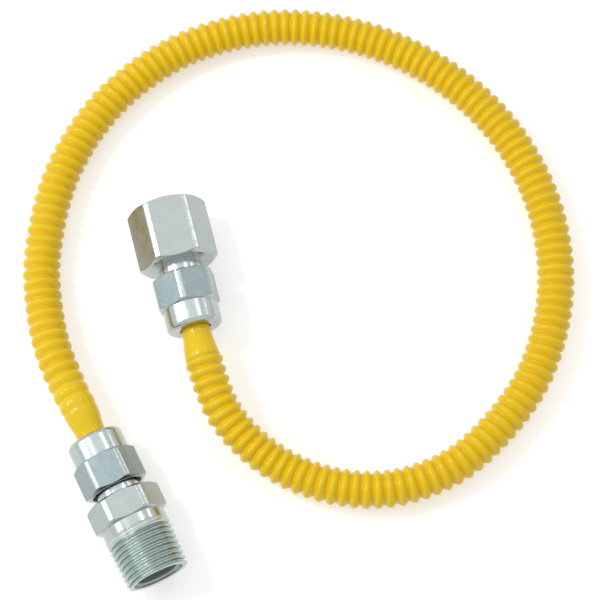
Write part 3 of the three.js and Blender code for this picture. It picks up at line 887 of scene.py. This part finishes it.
class HOSE_OT_male_adapter(bpy.types.Operator):
    """Makes the adapter with the male pipe thread"""

    bl_idname = "gas_hose.male_adapter"
    bl_label = "Male Adapter"

    def execute(self, context):
        adapters, threads = context.scene.gas_adapters, context.scene.gas_threads
        material = zinc(context.scene.gas_finish, "adapter")
        flats, turned_radius = adapters.male_flats / MM, adapters.male_turned_radius / MM
        bore, wide, mouth = (radius / MM for radius in (
            adapters.stub_bore_radius, adapters.pipe_bore_radius, adapters.pipe_mouth_radius))
        shoulder, end = adapters.shoulder_radius / MM, adapters.pipe_end_radius / MM
        full = end + threads.pipe_taper * (MALE_END - PIPE_THREAD_START)
        sink = MALE_END - PIPE_SINK_DEPTH

        def outline(radius):
            return [
                *stub_outline(adapters, threads, MALE_HEX_START),
                *hexagon_run(flats, radius, MALE_HEX_START, MALE_HEX_END),
                (shoulder, MALE_HEX_END, 0.15, 2),
                (shoulder, PIPE_THREAD_START, 0.1, 1),
                (full, PIPE_THREAD_START + PIPE_STEP, 0.0, PIPE_ROWS),
                (end + PIPE_CREST_LIFT, MALE_END - PIPE_CHAMFER, 0.0, 4),
                (end - PIPE_CHAMFER, MALE_END, 0.1, 2),
                (mouth, MALE_END, 0.12, 2),
                (mouth, sink, 0.1, 1),
                (wide, sink, 0.15, 3),
                (wide, MALE_HEX_START, 0.1, 1),
                (bore, MALE_HEX_START - (wide - bore) * DRILL_POINT, 0.1, 3),
            ]

        blank = lathe_object("male_adapter", outline, flats, turned_radius, 0.0, wide)
        pipe_thread = {
            "Pitch": threads.pipe_pitch, "Depth": threads.pipe_depth, "Taper": -threads.pipe_taper,
            "Low Radius": (full + PIPE_CREST_LIFT) * MM - threads.pipe_depth, "Run Out": PIPE_RUN_OUT * MM,
            "Internal": False, "Start": PIPE_THREAD_START * MM, "End": (MALE_END - PIPE_MARGIN) * MM,
            "Crest Flat": 0.05, "Material": material,
        }
        stub_thread = flare_thread(adapters, threads, material, False)
        mesh = cut_threads(blank, [stub_thread, pipe_thread], MALE_PLACE)
        finish_piece(mesh, "male_pipe_adapter", "male_adapter")
        return {"FINISHED"}


class HOSE_OT_female_adapter(bpy.types.Operator):
    """Makes the adapter with the threaded socket"""

    bl_idname = "gas_hose.female_adapter"
    bl_label = "Female Adapter"

    def execute(self, context):
        adapters, threads = context.scene.gas_adapters, context.scene.gas_threads
        material = zinc(context.scene.gas_finish, "adapter")
        flats, turned_radius = adapters.female_flats / MM, adapters.female_turned_radius / MM
        bore, crest, lead, relief = (radius / MM for radius in (
            adapters.stub_bore_radius, adapters.socket_radius, adapters.socket_lead_radius,
            adapters.socket_relief_radius))
        taper, floor = threads.pipe_taper, FEMALE_END - SOCKET_DEPTH
        low = crest - taper * SOCKET_DEPTH
        relief_end = floor - SOCKET_RELIEF_DEPTH

        def outline(radius):
            return [
                *stub_outline(adapters, threads, FEMALE_HEX_START),
                *hexagon_run(flats, radius, FEMALE_HEX_START, FEMALE_END),
                (lead, FEMALE_END, 0.12, 4),
                (crest - taper * (lead - crest), FEMALE_END - (lead - crest), 0.0, SOCKET_ROWS),
                (low, floor, 0.0, 1),
                (relief, floor, 0.0, 1),
                (relief, relief_end, 0.1, 1),
                (bore, relief_end - (relief - bore) * DRILL_POINT, 0.1, 3),
            ]

        blank = lathe_object("female_adapter", outline, flats, turned_radius, 0.0)
        socket_thread = {
            "Pitch": threads.pipe_pitch, "Depth": threads.pipe_depth, "Taper": taper, "Crest Flat": 0.1,
            "Low Radius": low * MM, "Run Out": SHORT_RUN_OUT * MM, "Internal": True, "Start": floor * MM,
            "End": (FEMALE_END - SOCKET_MARGIN) * MM, "Material": material,
        }
        stub_thread = flare_thread(adapters, threads, material, False)
        mesh = cut_threads(blank, [stub_thread, socket_thread], FEMALE_PLACE)
        finish_piece(mesh, "female_pipe_adapter", "female_adapter")
        return {"FINISHED"}


class HOSE_OT_declare(bpy.types.Operator):
    """Does nothing"""

    bl_idname = "gas_hose.declare"
    bl_label = "State the Hose's Length"

    def execute(self, context):
        return {"FINISHED"}


def seen_rays(tree):
    """1 for rays that see the background, directly or in metal, and 0 for those that light the scene."""
    rays = add_node(tree, "ShaderNodeLightPath").outputs
    mirrored = math_node(tree, "MAXIMUM", rays["Is Glossy Ray"], rays["Is Transmission Ray"])
    return math_node(tree, "MAXIMUM", rays["Is Camera Ray"], mirrored)


class HOSE_OT_studio(bpy.types.Operator):
    """Makes the plain pale floor, the surroundings and the soft lamps"""

    bl_idname = "gas_hose.studio"
    bl_label = "Studio"

    def execute(self, context):
        settings = context.scene.gas_studio
        half = settings.floor_size
        mesh = bpy.data.meshes.new("floor")
        corners = [(x * half, y * half, 0) for x, y in ((-1, -1), (1, -1), (1, 1), (-1, 1))]
        mesh.from_pydata(corners, [], [(0, 1, 2, 3)])
        material, tree = new_material("pale_floor")
        matt = add_node(tree, "ShaderNodeBsdfDiffuse", {"Color": (*settings.floor, 1.0)})
        lift = add_node(tree, "ShaderNodeEmission", {
            "Color": WHITE, "Strength": math_node(tree, "MULTIPLY", seen_rays(tree), settings.floor_lift)})
        both = add_node(tree, "ShaderNodeAddShader", {0: matt.outputs[0], 1: lift.outputs[0]})
        add_node(tree, "ShaderNodeOutputMaterial", {"Surface": both.outputs[0]})
        mesh.materials.append(material)
        new_object("floor", mesh)

        world = bpy.data.worlds.new("surroundings")
        world.use_nodes = True
        tree = world.node_tree
        tree.nodes.clear()
        level = settings.world_level
        background = add_node(tree, "ShaderNodeBackground", {
            "Color": (*settings.world, 1.0),
            "Strength": math_node(tree, "MULTIPLY_ADD", seen_rays(tree), 1.0 - level, level)})
        add_node(tree, "ShaderNodeOutputWorld", {"Surface": background.outputs[0]})
        context.scene.world = world

        for side, place in LAMP_PLACES.items():
            light = bpy.data.lights.new(side + "_lamp", "AREA")
            light.shape = "DISK"
            light.size = getattr(settings, side + "_size")
            light.energy = getattr(settings, side + "_power")
            lamp = new_object(side + "_lamp", light)
            lamp.location = Vector(place)
            lamp.rotation_mode = "QUATERNION"
            lamp.rotation_quaternion = (Vector(LAMP_TARGET) - lamp.location).to_track_quat("-Z", "Y")
        context.scene.view_settings.view_transform = "Standard"
        return {"FINISHED"}


class HOSE_PT_sidebar(bpy.types.Panel):
    """Lists the steps that make the hose"""

    bl_idname = "HOSE_PT_sidebar"
    bl_label = "Gas Hose"
    bl_space_type = "VIEW_3D"
    bl_region_type = "UI"
    bl_category = "Gas Hose"

    def draw(self, context):
        for step in STEPS:
            self.layout.operator(step.bl_idname)


STEPS = (HOSE_OT_camera, HOSE_OT_hose, HOSE_OT_nuts, HOSE_OT_male_adapter, HOSE_OT_female_adapter,
         HOSE_OT_declare, HOSE_OT_studio)
SETTINGS = {
    "gas_hose": HoseSettings, "gas_nuts": NutSettings, "gas_adapters": AdapterSettings,
    "gas_threads": ThreadSettings, "gas_finish": FinishSettings, "gas_studio": StudioSettings,
}
CLASSES = (*SETTINGS.values(), *STEPS, HOSE_PT_sidebar)


def register():
    for item in CLASSES:
        bpy.utils.register_class(item)
    for name, group in SETTINGS.items():
        setattr(bpy.types.Scene, name, PointerProperty(type=group))


def unregister():
    for name in SETTINGS:
        delattr(bpy.types.Scene, name)
    for item in reversed(CLASSES):
        bpy.utils.unregister_class(item)


def main():
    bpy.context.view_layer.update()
    register()
    bpy.ops.gas_hose.camera()
    bpy.ops.gas_hose.hose()
    bpy.ops.gas_hose.nuts()
    bpy.ops.gas_hose.male_adapter()
    bpy.ops.gas_hose.female_adapter()
    bpy.ops.gas_hose.declare()
    bpy.ops.gas_hose.studio()


if __name__ == "__main__":
    main()
